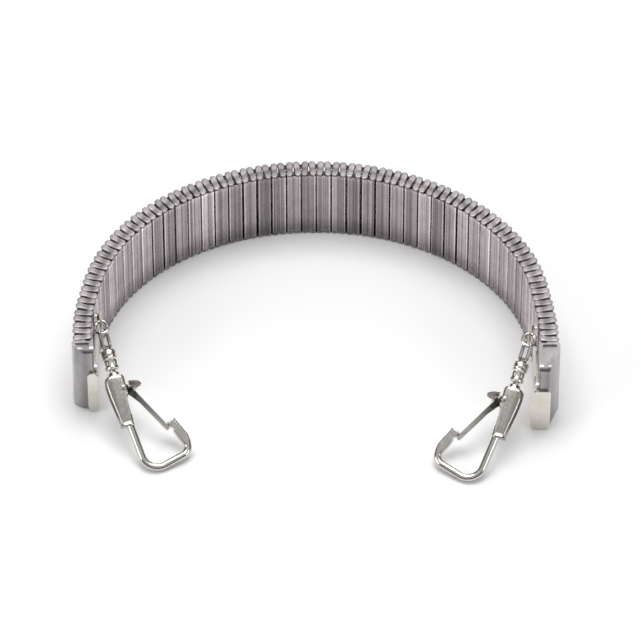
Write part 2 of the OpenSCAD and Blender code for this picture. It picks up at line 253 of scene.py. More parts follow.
def fillet(points, radii, seg=5):
    """A closed polygon with its corners rounded."""
    out = []
    n = len(points)
    if not hasattr(radii, "__len__"):
        radii = [radii] * n
    for i in range(n):
        p = np.array(points[i], float)
        a = np.array(points[i - 1], float) - p
        b = np.array(points[(i + 1) % n], float) - p
        la, lb = np.linalg.norm(a), np.linalg.norm(b)
        a, b = a / la, b / lb
        half = math.acos(max(-1, min(1, a @ b))) / 2
        if radii[i] <= 0 or abs(half - PI / 2) < 0.02:
            out.append(tuple(p))
            continue
        t = min(radii[i] / math.tan(half), 0.48 * la, 0.48 * lb)
        r = t * math.tan(half)
        c = p + (a + b) / np.linalg.norm(a + b) * r / math.sin(half)
        s0, s1 = p + a * t - c, p + b * t - c
        a0 = math.atan2(s0[1], s0[0])
        d = math.atan2(s1[1], s1[0]) - a0
        d = (d + PI) % (2 * PI) - PI
        k = max(2, int(round(seg * abs(d) / (PI / 2))) + 1)
        for j in range(k + 1):
            out.append((c[0] + r * math.cos(a0 + d * j / k), c[1] + r * math.sin(a0 + d * j / k)))
    return out


def circle(cx, cy, r, n=32):
    return [(cx + r * math.cos(2 * PI * i / n), cy + r * math.sin(2 * PI * i / n)) for i in range(n)]


def temp(verts, faces):
    me = bpy.data.meshes.new("temp")
    me.from_pydata([tuple(v) for v in np.asarray(verts, float)], [], faces)
    me.validate()
    me.update()
    o = bpy.data.objects.new("temp", me)
    bpy.context.scene.collection.objects.link(o)
    return o


def clean(o):
    bm = bmesh.new()
    bm.from_mesh(o.data)
    bmesh.ops.remove_doubles(bm, verts=bm.verts, dist=1e-5)
    bmesh.ops.recalc_face_normals(bm, faces=bm.faces)
    bm.to_mesh(o.data)
    bm.free()
    return o


def prism(poly, z0, z1, m=None):
    """An extruded polygon, as a temporary object in millimetres."""
    n = len(poly)
    area = sum(poly[i][0] * poly[(i + 1) % n][1] - poly[(i + 1) % n][0] * poly[i][1] for i in range(n))
    p = list(poly) if area > 0 else list(poly)[::-1]
    verts = [(x, y, z0) for x, y in p] + [(x, y, z1) for x, y in p]
    faces = [list(range(n))[::-1], list(range(n, 2 * n))] + [[i, (i + 1) % n, n + (i + 1) % n, n + i] for i in range(n)]
    o = temp(verts, faces)
    if m is not None:
        o.data.transform(Matrix(m.tolist()))
        if np.linalg.det(m[:3, :3]) < 0:
            o.data.flip_normals()
    return o


def block(x0, x1, y0, y1, z0, z1):
    return prism([(x0, y0), (x1, y0), (x1, y1), (x0, y1)], z0, z1)


def rod(a, b, r, n=32):
    """A round bar from a to b."""
    a, b = np.array(a, float), np.array(b, float)
    q = Vector(b - a).to_track_quat("Z", "Y").to_matrix().to_4x4()
    m = np.array(Matrix.Translation(Vector(a)) @ q)
    return prism(circle(0, 0, r, n), 0, float(np.linalg.norm(b - a)), m)


def csg(a, b, op="DIFFERENCE"):
    """a with b cut from it, joined to it or shared with it; b goes."""
    for c in b if isinstance(b, list) else [b]:
        m = a.modifiers.new("b", "BOOLEAN")
        m.operation, m.object, m.solver = op, c, "EXACT"
        dg = bpy.context.evaluated_depsgraph_get()
        me = bpy.data.meshes.new_from_object(a.evaluated_get(dg))
        a.modifiers.clear()
        old = a.data
        a.data = me
        bpy.data.meshes.remove(old)
        bpy.data.objects.remove(c)
    return a


def take(o):
    """The vertices and faces of a temporary object, which goes."""
    clean(o)
    v = np.array([p.co[:] for p in o.data.vertices], float)
    f = [list(p.vertices) for p in o.data.polygons]
    me = o.data
    bpy.data.objects.remove(o)
    bpy.data.meshes.remove(me)
    return v, f


def smooth(x, a, b):
    t = min(1, max(0, (x - a) / (b - a)))
    return t * t * (3 - 2 * t)


def superellipse(a0, a1, b, n, count):
    """Points round a section: half-width a1 on the + side and a0 on the - side, half-height b."""
    out = []
    for k in range(count):
        th = 2 * PI * (k + 0.5) / count
        c, s = math.cos(th), math.sin(th)
        x = (a1 if c > 0 else a0) * math.copysign(abs(c) ** (2 / n), c)
        y = b * math.copysign(abs(s) ** (2 / n), s)
        out.append((x, y))
    return out


# ------------------------------------------------------------------ materials
def metal(name, base, rough, spread=0.16, brush=(5000, 5000, 5000), bump=0.10, blotch=260.0, coat=0.0, tint=(1.0, 0.96, 0.9)):
    m = bpy.data.materials.new(name)
    m.use_nodes = True
    nt = m.node_tree
    nd, ln = nt.nodes, nt.links
    nd.clear()
    out = nd.new("ShaderNodeOutputMaterial")
    b = nd.new("ShaderNodeBsdfPrincipled")
    ln.new(b.outputs["BSDF"], out.inputs["Surface"])
    b.inputs["Metallic"].default_value = 1.0
    b.inputs["Coat Weight"].default_value = coat
    b.inputs["Coat Roughness"].default_value = 0.08
    tc = nd.new("ShaderNodeTexCoord")
    mp = nd.new("ShaderNodeMapping")
    mp.inputs["Scale"].default_value = brush
    ln.new(tc.outputs["Object"], mp.inputs["Vector"])
    fine = nd.new("ShaderNodeTexNoise")          # brush lines and hairline scratches
    fine.inputs["Scale"].default_value = 1.0
    fine.inputs["Detail"].default_value = 3.0
    fine.inputs["Roughness"].default_value = 0.55
    ln.new(mp.outputs["Vector"], fine.inputs["Vector"])
    big = nd.new("ShaderNodeTexNoise")           # slow changes of colour and polish
    big.inputs["Scale"].default_value = blotch
    big.inputs["Detail"].default_value = 4.0
    big.inputs["Roughness"].default_value = 0.6
    ln.new(tc.outputs["Object"], big.inputs["Vector"])
    wear = nd.new("ShaderNodeTexNoise")          # small dull marks
    wear.inputs["Scale"].default_value = 1500.0
    wear.inputs["Detail"].default_value = 5.0
    wear.inputs["Roughness"].default_value = 0.7
    ln.new(tc.outputs["Object"], wear.inputs["Vector"])

    def math_(op, a, c, clamp=False):
        x = nd.new("ShaderNodeMath")
        x.operation = op
        x.use_clamp = clamp
        for i, val in enumerate((a, c)):
            if isinstance(val, (int, float)):
                x.inputs[i].default_value = val
            else:
                ln.new(val, x.inputs[i])
        return x.outputs[0]

    tone = nd.new("ShaderNodeAttribute")
    tone.attribute_name = "tone"
    shade_and_grime = nd.new("ShaderNodeAttribute")
    shade_and_grime.attribute_name = "shade_and_grime"
    ramp = nd.new("ShaderNodeValToRGB")
    lo = [c * (1 - spread) * t for c, t in zip(base, tint)]
    hi = [min(1, c * (1 + spread)) for c in base]
    ramp.color_ramp.elements[0].position = 0.3
    ramp.color_ramp.elements[1].position = 0.7
    ramp.color_ramp.elements[0].color = (*lo, 1)
    ramp.color_ramp.elements[1].color = (*hi, 1)
    mixed = math_("ADD", math_("MULTIPLY", big.outputs["Fac"], 0.6), math_("MULTIPLY", fine.outputs["Fac"], 0.4))
    ln.new(mixed, ramp.inputs["Fac"])
    gain = nd.new("ShaderNodeMix")
    gain.data_type = "RGBA"
    gain.blend_type = "MULTIPLY"
    gain.inputs[0].default_value = 1.0
    ln.new(ramp.outputs["Color"], gain.inputs[6])
    # the tone attribute scales the base colour: random tone, plus painted highlights and painted shade set per vertex
    two = math_("MULTIPLY", tone.outputs["Fac"], 2.0)
    comb = nd.new("ShaderNodeCombineColor")
    for i in range(3):
        ln.new(two, comb.inputs[i])
    ln.new(comb.outputs[0], gain.inputs[7])
    # mix towards near-black by the second attribute, broken up by noise: painted shade in recesses and on tucked-in
    # parts
    dark = nd.new("ShaderNodeMix")
    dark.data_type = "RGBA"
    dark.inputs[7].default_value = (0.022, 0.020, 0.019, 1)
    spotty = math_("MULTIPLY", shade_and_grime.outputs["Fac"], math_("ADD", math_("MULTIPLY", wear.outputs["Fac"], 0.9), 0.5), True)
    ln.new(spotty, dark.inputs[0])
    ln.new(gain.outputs[2], dark.inputs[6])
    ln.new(dark.outputs[2], b.inputs["Base Color"])
    r1 = math_("MULTIPLY", math_("SUBTRACT", wear.outputs["Fac"], 0.5), 0.28)
    r2 = math_("MULTIPLY", math_("SUBTRACT", fine.outputs["Fac"], 0.5), 0.20)
    r3 = math_("ADD", math_("ADD", r1, r2), rough)
    r4 = math_("ADD", r3, math_("MULTIPLY", spotty, 0.35), True)
    ln.new(r4, b.inputs["Roughness"])
    bp = nd.new("ShaderNodeBump")
    bp.inputs["Strength"].default_value = bump
    bp.inputs["Distance"].default_value = 0.00004
    ln.new(math_("ADD", fine.outputs["Fac"], math_("MULTIPLY", wear.outputs["Fac"], 0.5)), bp.inputs["Height"])
    ln.new(bp.outputs["Normal"], b.inputs["Normal"])
    return m


SLEEVE_OUT = metal("brushed steel sleeves, outer row", (0.31, 0.288, 0.302), 0.30, brush=(5200, 5200, 130), bump=0.14)
SLEEVE_IN = metal("brushed steel sleeves, wrist row", (0.285, 0.258, 0.275), 0.27, brush=(5200, 5200, 110), bump=0.14)
CLIP = metal("stamped steel clips", (0.34, 0.318, 0.33), 0.46, brush=(3500, 3500, 900))
SPRING = metal("spring steel strip", (0.30, 0.285, 0.27), 0.34, brush=(5000, 5000, 140))
PLATE = metal("satin end plate", (0.38, 0.365, 0.38), 0.33, brush=(4200, 4200, 120), bump=0.16)
BRIGHT = metal("bright plate", (0.70, 0.68, 0.64), 0.20, spread=0.10, brush=(1800, 1800, 900), bump=0.05)
NICKEL = metal("bright nickel", (0.60, 0.59, 0.575), 0.12, spread=0.08, brush=(1500, 1500, 1500), bump=0.035)
SATIN = metal("worn satin nickel", (0.45, 0.437, 0.415), 0.22, spread=0.14, brush=(2600, 2600, 700), bump=0.08)
DARK = metal("dark spring wire", (0.22, 0.21, 0.20), 0.30, brush=(3000, 3000, 3000))


# ------------------------------------------------------------------ band
def sleeve_profile(seam):
    """Outline of a rolled sleeve, anticlockwise, with the tone of each point. The seam is on the wrist side, +y. The
    tones paint light and shade: the rounded corners are lighter as painted highlights, the flat sides darker as painted
    shade between neighbouring sleeves, and the outer row's wrist side lighter as painted light in the crevice between
    the rows.
    """
    a, b, rc, crown = SL / 2 + 0.08, ST / 2, 0.34, 0.04
    pts, tone = [], []
    # wrist side, from +x to -x
    xs = [1.1, 0.92, 0.72, 0.52, 0.34, 0.22, 0.12, 0.055, 0.0, -0.055, -0.12, -0.22, -0.34, -0.52, -0.72, -0.92, -1.1]
    for x in xs:
        y = b - crown * (x / (a - rc)) ** 2
        if seam:
            d = abs(x)
            y -= 0.10 if d < 0.01 else 0.08 if d < 0.06 else 0.025 if d < 0.13 else 0.0
        pts.append((x, y))
        # outer row: the wrist side, in shade between the rows, is painted light (0.95); wrist row: the seam line is
        # darker
        tone.append(0.95 if not seam else 0.36 if abs(x) < 0.06 else 0.5)
    # corner and side at -x
    for k in range(1, 6):
        th = PI / 2 + PI / 2 * k / 6
        pts.append((-(a - rc) + rc * math.cos(th), (b - crown - rc) + rc * math.sin(th)))
        # painted highlight on the rounded corner, fading to painted shade down the side
        tone.append(0.98 if k < 2 else 0.72 if k == 2 else 0.40)
    for y in (0.25, -0.25):
        pts.append((-a, y))
        # painted shade on the flat side that faces the next sleeve
        tone.append(0.33)
    for k in range(1, 6):
        th = PI + PI / 2 * k / 6
        pts.append((-(a - rc) + rc * math.cos(th), -(b - crown - rc) + rc * math.sin(th)))
        tone.append(0.40 if k < 4 else 0.72 if k == 4 else 0.98)
    # outer side, from -x to +x
    for x in (-1.1, -0.9, -0.68, -0.45, -0.22, 0.0, 0.22, 0.45, 0.68, 0.9, 1.1):
        pts.append((x, -b + crown * (x / (a - rc)) ** 2))
        tone.append(0.5)
    # the same painted highlights on the +x corners and painted shade on the +x side
    for k in range(1, 6):
        th = 3 * PI / 2 + PI / 2 * k / 6
        pts.append(((a - rc) + rc * math.cos(th), -(b - crown - rc) + rc * math.sin(th)))
        tone.append(0.98 if k < 2 else 0.72 if k == 2 else 0.40)
    for y in (-0.25, 0.25):
        pts.append((a, y))
        tone.append(0.33)
    for k in range(1, 6):
        th = PI / 2 * k / 6
        pts.append(((a - rc) + rc * math.cos(th), (b - crown - rc) + rc * math.sin(th)))
        tone.append(0.40 if k < 4 else 0.72 if k == 4 else 0.98)
    return np.array(pts), np.array(tone)


def outward(p):
    """Unit normals of a closed outline."""
    d = np.roll(p, -1, 0) - np.roll(p, 1, 0)
    n = np.stack([d[:, 1], -d[:, 0]], 1)
    n /= np.linalg.norm(n, axis=1)[:, None]
    return n


def sleeve_rings(seam, rng):
    p, tone = sleeve_profile(seam)
    n = outward(p)
    s = np.array([(SL / 2 - WALL) / (SL / 2), (ST / 2 - WALL) / (ST / 2)])
    q = p * s
    q[:, 1] = np.clip(q[:, 1], -(ST / 2 - WALL), ST / 2 - WALL)
    H = SH / 2
    rings, tones, shade_rings = [], [], []

    def ring(pp, z, tn, shade_level):
        rings.append(np.column_stack([pp, np.full(len(pp), z)]))
        tones.append(tn)
        shade_rings.append(np.full(len(pp), shade_level) if not hasattr(shade_level, "__len__") else shade_level)

    # painted shade on the flat sides that face the next sleeve, mixed 0.12 towards near-black
    side_shade = np.where(tone < 0.35, 0.12, 0.0)
    for z, inset in ((-H, 0.07), (-H + 0.025, 0.03), (-H + 0.08, 0.0), (-H + 1.2, 0.0), (-4.0, 0.0), (4.0, 0.0), (H - 1.2, 0.0), (H - 0.08, 0.0), (H - 0.025, 0.03), (H, 0.07)):
        # painted highlight: the tone is raised by 0.14 on the rims at both ends
        edge = 0.14 if abs(z) > H - 0.1 else 0.0
        ring(p - n * inset, z, tone + edge, side_shade * (0.0 if edge else 1.0))
    # inside the bore: tone 0.42 and a near-black mix rising to 0.62 deeper in, painted shade in the tube
    top = [(H, 0.06, 0.0), (H - 0.05, 0.0, 0.2), (H - 0.3, 0.0, 0.55), (H - 0.42, -0.08, 0.62)]
    for z, out, shade_level in top:
        ring(q + n * out, z, np.full(len(q), 0.42), shade_level)
    low = []
    for z, out, shade_level in top[::-1]:
        low.append((np.column_stack([q + n * out, np.full(len(q), -z)]), np.full(len(q), 0.42), np.full(len(q), shade_level)))
    rings[:0], tones[:0], shade_rings[:0] = [x[0] for x in low], [x[1] for x in low], [x[2] for x in low]
    return rings, np.concatenate(tones), np.concatenate(shade_rings)


SLEEVES = {}
for seam in (True, False):
    r_, t_, g_ = sleeve_rings(seam, None)
    SLEEVES[seam] = (*loft(r_), t_, g_)


def jitter(rng, turn=1.3, tone=0.15):
    """A small turn about the sleeve's own axis and a small change of tone, as rolled parts have."""
    return RZ(rng.uniform(-turn, turn)), rng.gauss(0, tone)


def sleeves(k, inner):
    rng = random.Random(100 * k + (7 if inner else 3))
    sh = Shell()
    n = SEG_COUNT[k] - (1 if inner and k == 6 else 0)
    v, f, tone, shade_and_grime = SLEEVES[inner]
    for i in range(SEG_FIRST[k], SEG_FIRST[k] + n):
        j, dt = jitter(rng)
        gain = 1 + max(-0.3, min(0.32, dt))
        # painted light: sleeves towards both ends of the arc are made up to 1.62 times lighter
        gain *= 1 + 0.62 * smooth(abs(i - 23) / 23, 0.12, 0.55)
        m = at_q(4 * i + (2 if inner else 0)) @ T(0, ROW if inner else -ROW, 0) @ j
        if inner and i in (SEG_FIRST[k], SEG_FIRST[k] + n - 1):
            m = m @ np.diag([0.93, 1.0, 1.0, 1.0])          # a little slack where two groups fold together
        n_col = len(sleeve_profile(inner)[0])
        col = np.array([rng.gauss(0, 1) for _ in range(n_col)])
        col = 1 + (0.30 if inner else 0.18) * np.clip(0.6 * col + 0.4 * np.roll(col, 1), -1.6, 1.6)
        low = np.where(inner & (v[:, 2] < -SH / 2 + 1.3), 0.66, 1.0)          # painted shade: darker along the lower edge
        sh.add(v, f, m, tone * gain * low * np.tile(col, len(tone) // n_col), shade_and_grime)
    return sh


def clip_mesh(lean):
    """Top clip: a waisted plate with a rounded knuckle over each leg. lean is the sideways offset of the wrist-side knuckle."""
    z0 = SH / 2 + SIDE_GAP
    # outline round a spine from the outer leg to the wrist-side leg
    side, count = [], 9
    ye = 1.16
    ys = np.linspace(-1.38, ye, count)
    spine = [(lean * y / ye, y) for y in ys]
    half = [0.74 - 0.09 * math.cos(PI / 2 * max(-1, y / ye)) ** 2 for y in ys]
    out, base = [], []
    for (x, y), h in zip(spine, half):                       # +x side, going +y
        out.append((x + h, y))
        base.append((x, y))
    cap = 7
    for k in range(1, cap):
        th = PI * k / cap
        out.append((spine[-1][0] + half[-1] * math.cos(th), spine[-1][1] + half[-1] * math.sin(th)))
        base.append(spine[-1])
    for (x, y), h in list(zip(spine, half))[::-1]:
        out.append((x - h, y))
        base.append((x, y))
    for k in range(1, cap):
        th = PI + PI * k / cap
        out.append((spine[0][0] + half[0] * math.cos(th), spine[0][1] + half[0] * math.sin(th)))
        base.append(spine[0])
    out, base = np.array(out), np.array(base)
    sag = 0.13 * np.cos(np.clip(base[:, 1] / ye, -1, 1) * PI / 2) ** 2
    rings, tones = [], []
    # painted shade: the tones darken the plate towards its base and along the sag at its waist
    for t, h, tn in ((0.90, 0.0, 0.4), (1.0, 0.06, 0.45), (1.0, 0.26, 0.5), (0.985, 0.36, 0.52), (0.93, 0.43, 0.52), (0.80, 0.475, 0.52), (0.46, 0.497, 0.5), (0.12, 0.5, 0.5)):
        pp = base + (out - base) * t
        z = z0 + h - sag * (h / 0.5) ** 1.5
        rings.append(np.column_stack([pp, z]))
        tones.append(np.full(len(pp), tn) - 0.19 * (sag / 0.13) * (h / 0.5))
    verts, faces = loft(rings, cap0=True, cap1=False)
    n = len(out)
    top = (len(rings) - 1) * n
    L = list(range(0, count))                                 # +x side
    Rr = list(range(count + cap - 1, 2 * count + cap - 1))    # -x side, going -y
    for i in range(count - 1):
        faces.append([top + L[i], top + L[i + 1], top + Rr[count - 2 - i], top + Rr[count - 1 - i]])
    faces.append([top + count - 1] + [top + count + j for j in range(cap - 1)] + [top + Rr[0]])
    faces.append([top + Rr[-1]] + [top + Rr[-1] + 1 + j for j in range(cap - 1)] + [top + 0])
    return verts, faces, np.concatenate(tones)


def leg_mesh(y):
    z0 = SH / 2 + SIDE_GAP
    rings = []
    for dz, r in ((-LEG_LEN, 0.12), (-LEG_LEN + 0.05, 0.22), (-LEG_LEN + 0.16, 0.31), (-LEG_LEN + 0.3, LEG_R), (0.1, LEG_R)):
        rings.append([(r * math.cos(2 * PI * k / 16), y + r * math.sin(2 * PI * k / 16), z0 + dz) for k in range(16)])
    return loft(rings)


CLIPS = {s: clip_mesh(s * 0.10) for s in (-1, 1)}
LEGS = [leg_mesh(-ROW), leg_mesh(ROW)]
FLIP = np.diag([1.0, 1.0, -1.0, 1.0])


def add_clip(sh, q, rng):
    lean = 1 if q % 4 == 3 else -1
    v, f, tone = CLIPS[lean]
    for m in (np.eye(4), FLIP):
        dt = max(-0.1, min(0.1, rng.gauss(0, 0.04)))
        sh.add(v, f, at_q(q) @ m, tone + dt, 0.0)
        # the legs are painted darker (tone 0.42, near-black mix 0.35): painted shade where they sit in the sleeves
        for lv, lf in LEGS:
            sh.add(lv, lf, at_q(q) @ m, 0.42, 0.35)


def side_clips(k):
    rng = random.Random(500 + k)
    sh = Shell()
    n = SEG_COUNT[k] - (1 if k == 6 else 0)
    qs = [4 * i + 1 for i in range(SEG_FIRST[k], SEG_FIRST[k] + n)]
    qs += [4 * i + 3 for i in range(SEG_FIRST[k], SEG_FIRST[k] + SEG_COUNT[k] - 1)]
    if k == 0:
        qs.append(-1)
    if k == 6:
        qs.append(4 * (N_OUTER - 1) + 1)
    for q in qs:
        add_clip(sh, q, rng)
    return sh


def leaf_mesh():
    top, th = ST / 2 - WALL - 0.03, 0.12
    dip, h, f = 2 * top - th - 0.03, SH / 2 - 0.4, SH / 2 - LEG_LEN + 0.2
    rings = []
    for z in [-h, -h + 0.05] + [-f + 2 * f * i / 24 for i in range(25)] + [h - 0.05, h]:
        y = top - th / 2 + (0 if abs(z) >= f else -dip * (1 + math.cos(PI * z / f)) / 2)
        w = 0.82 if abs(z) > h - 0.01 else 0.95
        rings.append([(x, y + yy, z) for x, yy in superellipse(w, w, th / 2, 6, 16)])
    return loft(rings)


LEAF = leaf_mesh()


def leaves(k):
    sh = Shell()
    n = SEG_COUNT[k] - (1 if k == 6 else 0)
    # painted shade: the strips, which sit inside the sleeves, are mixed 0.2 towards near-black
    for i in range(SEG_FIRST[k], SEG_FIRST[k] + SEG_COUNT[k]):
        sh.add(*LEAF, at_q(4 * i) @ T(0, -ROW, 0), 0.5, 0.2)
    for i in range(SEG_FIRST[k], SEG_FIRST[k] + n):
        sh.add(*LEAF, at_q(4 * i + 2) @ T(0, ROW, 0), 0.5, 0.2)
    return sh


for k in range(7):
    body = f"link_group_{k + 1}"
    sleeves(k, False).build(f"outer_row_sleeve_tubes_{k + 1}", SLEEVE_OUT, body, [f"outer_sleeves_{k + 1}"], "sleeve_steel")
    sleeves(k, True).build(f"wrist_row_sleeve_tubes_{k + 1}", SLEEVE_IN, body, [f"inner_sleeves_{k + 1}"], "sleeve_steel")
    side_clips(k).build(f"edge_clips_{k + 1}", CLIP, body, [f"side_clips_{k + 1}"], "clip_steel")
    leaves(k).build(f"bowed_leaf_strips_{k + 1}", SPRING, body, [f"leaf_springs_{k + 1}"], "spring_steel")
for k in range(1, 7):
    sh = Shell()
    add_clip(sh, 4 * (SEG_FIRST[k] - 1) + 3, random.Random(800 + k))
    sh.build(f"hinge_clip_pair_{k}", CLIP, f"link_clip_pair_{k}", [f"link_clips_{k}"], "clip_steel")


# ------------------------------------------------------------------ end pieces
def rounded_end(e, z0, z1, r):
    """A block that keeps x below e, with its two far corners rounded in x and z."""
    poly = fillet([(-30, z0), (e, z0), (e, z1), (-30, z1)], [0, r, r, 0], 10)
    m = np.array([[1, 0, 0, 0], [0, 0, -1, 0], [0, 1, 0, 0], [0, 0, 0, 1.0]])      # x, y -> x, z
    return prism(poly, -12, 12, m)


def tones_by(v, fn):
    return np.array([fn(p) for p in v])


def end_plate(s):
    e, k, o = PLATE_END[s], (3.8 if s == 0 else 2.9), 2.4
    a = prism(fillet([(0.18, IN_FACE + 0.25), (0.43, IN_FACE), (e - 0.3, IN_FACE), (e, IN_FACE + 0.3), (e, -0.2), (e - 0.2, 0.15),
                      (k + 0.5, o - 0.25), (k, o), (2.2, o), (1.85, o - 0.35), (1.85, 0.2), (1.5, -0.12), (0.43, -0.12), (0.18, -0.4)],
                     [0.15, 0.3, 0.4, 0.4, 0.4, 0.4, 0.5, 0.6, 0.4, 0.3, 0.2, 0.2, 0.3, 0.15]), -HZ, HZ)
    a = csg(a, rounded_end(e, -HZ, HZ, 1.4), "INTERSECT")
    cut = [prism(fillet([(0.42, -ROW - 0.59), (2.06, -ROW - 0.59), (2.06, -ROW + 0.59), (0.42, -ROW + 0.59)], 0.15), -12, 12),
           ]
    for m in (1, -1):
        z0, z1 = sorted((m * (HZ - 0.5), m * 12))
        cut.append(prism(fillet([(2.5, -1.2), (e - 0.6, -1.2), (e - 0.6, -0.4), (k + 0.1, o - 0.75), (2.5, o - 0.6)], 0.3), z0, z1))
        z0, z1 = sorted((m * SH / 2, m * 12))
        cut.append(block(-1, 1.7, -3, 1.7, z0, z1))
    for z in (-6.5, -1.5):
        cut.append(rod((3.0, -4, z), (3.0, -1, z), 0.5))
    a = csg(a, cut)
    return take(a)


def inner_plate(s):
    e, h, a, t, yf, z1 = PLATE_END[s], HOLE_X[s], LEAN[s], 0.48, IN_FACE - 0.02, 3.4
    m = np.array([[1, 0, 0, 0], [0, 0, -1, yf], [0, 1, 0, 0], [0, 0, 0, 1.0]])     # x, y -> x, z; z -> -y
    ey, j = EAR_Y[s], (0.42 if s == 0 else 0.86)

    def yj(x):
        return yf - j * (-0.9 - x) / (1.0 - h)

    sheet = prism(fillet([(-0.9, -HZ + 0.2), (e + 0.1, -HZ + 0.2), (e + 0.1, z1 - 1.2), (e - 1.0, z1), (-0.9, z1)], [0, 0, 0.9, 1.2, 0]), 0, t, m)
    tail = prism([(-0.8, yf), (-0.9, yf), (h - 1.9, yj(h - 1.9)), (h - 1.9, yj(h - 1.9) - t), (-0.9, yf - t), (-0.8, yf - t)], -HZ + 0.2, z1)
    trim = np.array([[1, 0, 0, 0], [0, 0, -1, 0], [0, 1, 0, 0], [0, 0, 0, 1.0]])
    keep = prism(fillet([(h - 1.9, -HZ + 0.2), (2, -HZ + 0.2), (2, z1), (h - 0.5, z1), (h - 0.5, EAR_Z + 1.2), (h - 1.9, EAR_Z + 1.2)], [1.2, 0, 0, 0.9, 0.3, 0.6], 8), -6, 6, trim)
    tail = csg(tail, prism([(h - 0.5, yj(h - 0.5)), (h - 1.9, yj(h - 1.9)), (h - 1.9, yj(h - 1.9) - t), (h - 0.5, yj(h - 0.5) - t)], z1 - 0.5, EAR_Z + 1.2), "UNION")
    tail = csg(tail, keep, "INTERSECT")
    mf = np.array([[0, 0, 1, e + 0.05], [1, 0, 0, 0], [0, 1, 0, 0], [0, 0, 0, 1.0]])      # x, y -> y, z; z -> x
    y0, y1 = [(yf - t - 1.1, 0.45), (yf - t - 0.3, -0.55)][s]
    face = fillet([(y0, -HZ + 1.2), (y0 + 0.7, -HZ + 0.2), (-1.9, -HZ + 0.2), (-1.8, -HZ + 0.01), (-1.0, -HZ + 0.01), (-0.9, -HZ + 0.2), (y1 - 0.3, -HZ + 0.6),
                   (y1, -HZ + 2.0), (y1, z1 - 1.4), (y1 - 0.5, z1 - 0.6), (y0 + 0.8, z1 - 0.6), (y0, z1 - 2.6)],
                  [0.5, 0.6, 0.1, 0.2, 0.2, 0.1, 0.3, 0.9, 0.4, 0.5, 0.5, 0.8], 6)
    flange = prism(face, 0, 0.48, mf)
    foot = block(e - 0.2, e + 0.3, yf - t + 0.05, yf - 0.05, -HZ + 1.0, z1 - 1.5)
    ca, sa = math.cos(R(a)), math.sin(R(a))
    ear = prism(fillet([(h - 1.9, yj(h - 1.9) - 0.1), (h - 1.9, ey - 0.25), (h, ey - 0.25), (h + 0.85 * ca - 0.25 * sa, ey - 0.85 * sa - 0.25 * ca),
                        (h + 0.85 * ca + 0.25 * sa, ey - 0.85 * sa + 0.25 * ca), (h - 0.85, ey + 0.25), (h - 1.4, ey + 0.5), (h - 1.4, yj(h - 1.4) - 0.1)],
                       [0, 0.4, 0.3, 0.2, 0.2, 0.3, 0.15, 0]), EAR_Z - 1.1, EAR_Z + 1.2)
    o = csg(sheet, [tail, flange, foot, ear], "UNION")
    hole = rod((0, 0.5, 0), (0, -0.7, 0), 0.42)
    hole.data.transform(Matrix((T(h, ey, EAR_Z) @ RZ(-a)).tolist()))
    o = csg(o, [hole] + [rod((3.0, -4, z), (3.0, -1, z), 0.5) for z in (-6.5, -1.5)])
    return take(o)


def dome(r, h, x0, sign, shank_r, shank_x):
    """Profile (r, x) of a domed head on a shank, turned about x."""
    prof = [(0.0, shank_x), (shank_r, shank_x), (shank_r, x0), (r * 0.94, x0)]
    for k in range(7):
        th = PI / 2 * k / 6
        prof.append((r * math.cos(th) if k else r, x0 + sign * (0.04 + (h - 0.04) * math.sin(th))))
    return prof


def rivets(s):
    sh = Shell()
    for z in (-6.5, -1.5):
        m = at_end(s) @ T(3.0, IN_FACE - 0.5, z) @ RZ(90)      # x of the part runs outward, +y of the end frame
        v, f = revolve_x(dome(0.8, 0.3, 0.0, -1, 0.49, 1.35), 40)
        sh.add(v, [g[::-1] for g in f], m, 0.5, 0.0)
    return sh


def ring_mesh():
    """A jump ring with its cut."""
    gap = 0.045
    n, rings = 72, []
    for k in range(n + 1):
        a = PI * 1.16 + gap + (2 * PI - 2 * gap) * k / n
        inset = 0.93 if k in (0, n) else 1.0
        rings.append([((RING_R + inset * RING_WIRE * math.cos(b)) * math.cos(a), (RING_R + inset * RING_WIRE * math.cos(b)) * math.sin(a), inset * RING_WIRE * math.sin(b))
                      for b in [2 * PI * j / 24 for j in range(24)]])
    return loft(rings)


def loop_plate(outer, inner, th, n=5.0, count=12):
    """A flat loop between two outlines of equal length, with rounded edges."""
    rings = []
    for (ox, oy), (ix, iy) in zip(outer, inner):
        cx, cy, hx, hy = (ox + ix) / 2, (oy + iy) / 2, (ox - ix) / 2, (oy - iy) / 2
        rings.append([(cx + hx * u, cy + hy * u, w) for u, w in superellipse(1, 1, th, n, count)])
    return loft(rings, closed=True)


def resample(poly, n, start):
    """n points evenly along a closed outline, from the point at angle start seen from its middle."""
    p = np.array(poly, float)
    c = (p.max(0) + p.min(0)) / 2
    d = np.linalg.norm(np.roll(p, -1, 0) - p, axis=1)
    s = np.concatenate([[0], np.cumsum(d)])
    q = np.vstack([p, p[:1]])
    many = np.array([[np.interp(x, s, q[:, i]) for i in (0, 1)] for x in np.linspace(0, s[-1], 2000, endpoint=False)])
    ang = np.arctan2(many[:, 1] - c[1], many[:, 0] - c[0])
    first = int(np.argmin(np.abs((ang - start + PI) % (2 * PI) - PI)))
    idx = (first + np.arange(n) * 2000 // n) % 2000
    return many[idx]


def eye_mesh():
    outer = fillet([(0.34, -1.65), (4.9, -1.65), (4.9, 1.65), (0.34, 1.65)], [0.95, 0.8, 0.8, 0.95], 8)
    inner = fillet([(0.78, -1.1), (4.0, -1.1), (4.0, 1.1), (0.78, 1.1)], [0.6, 0.55, 0.55, 0.6], 8)
    v, f = loop_plate(resample(outer, 72, PI), resample(inner, 72, PI), 0.36, 4.0, 14)
    m = RX(48)
    return v @ m[:3, :3].T, f


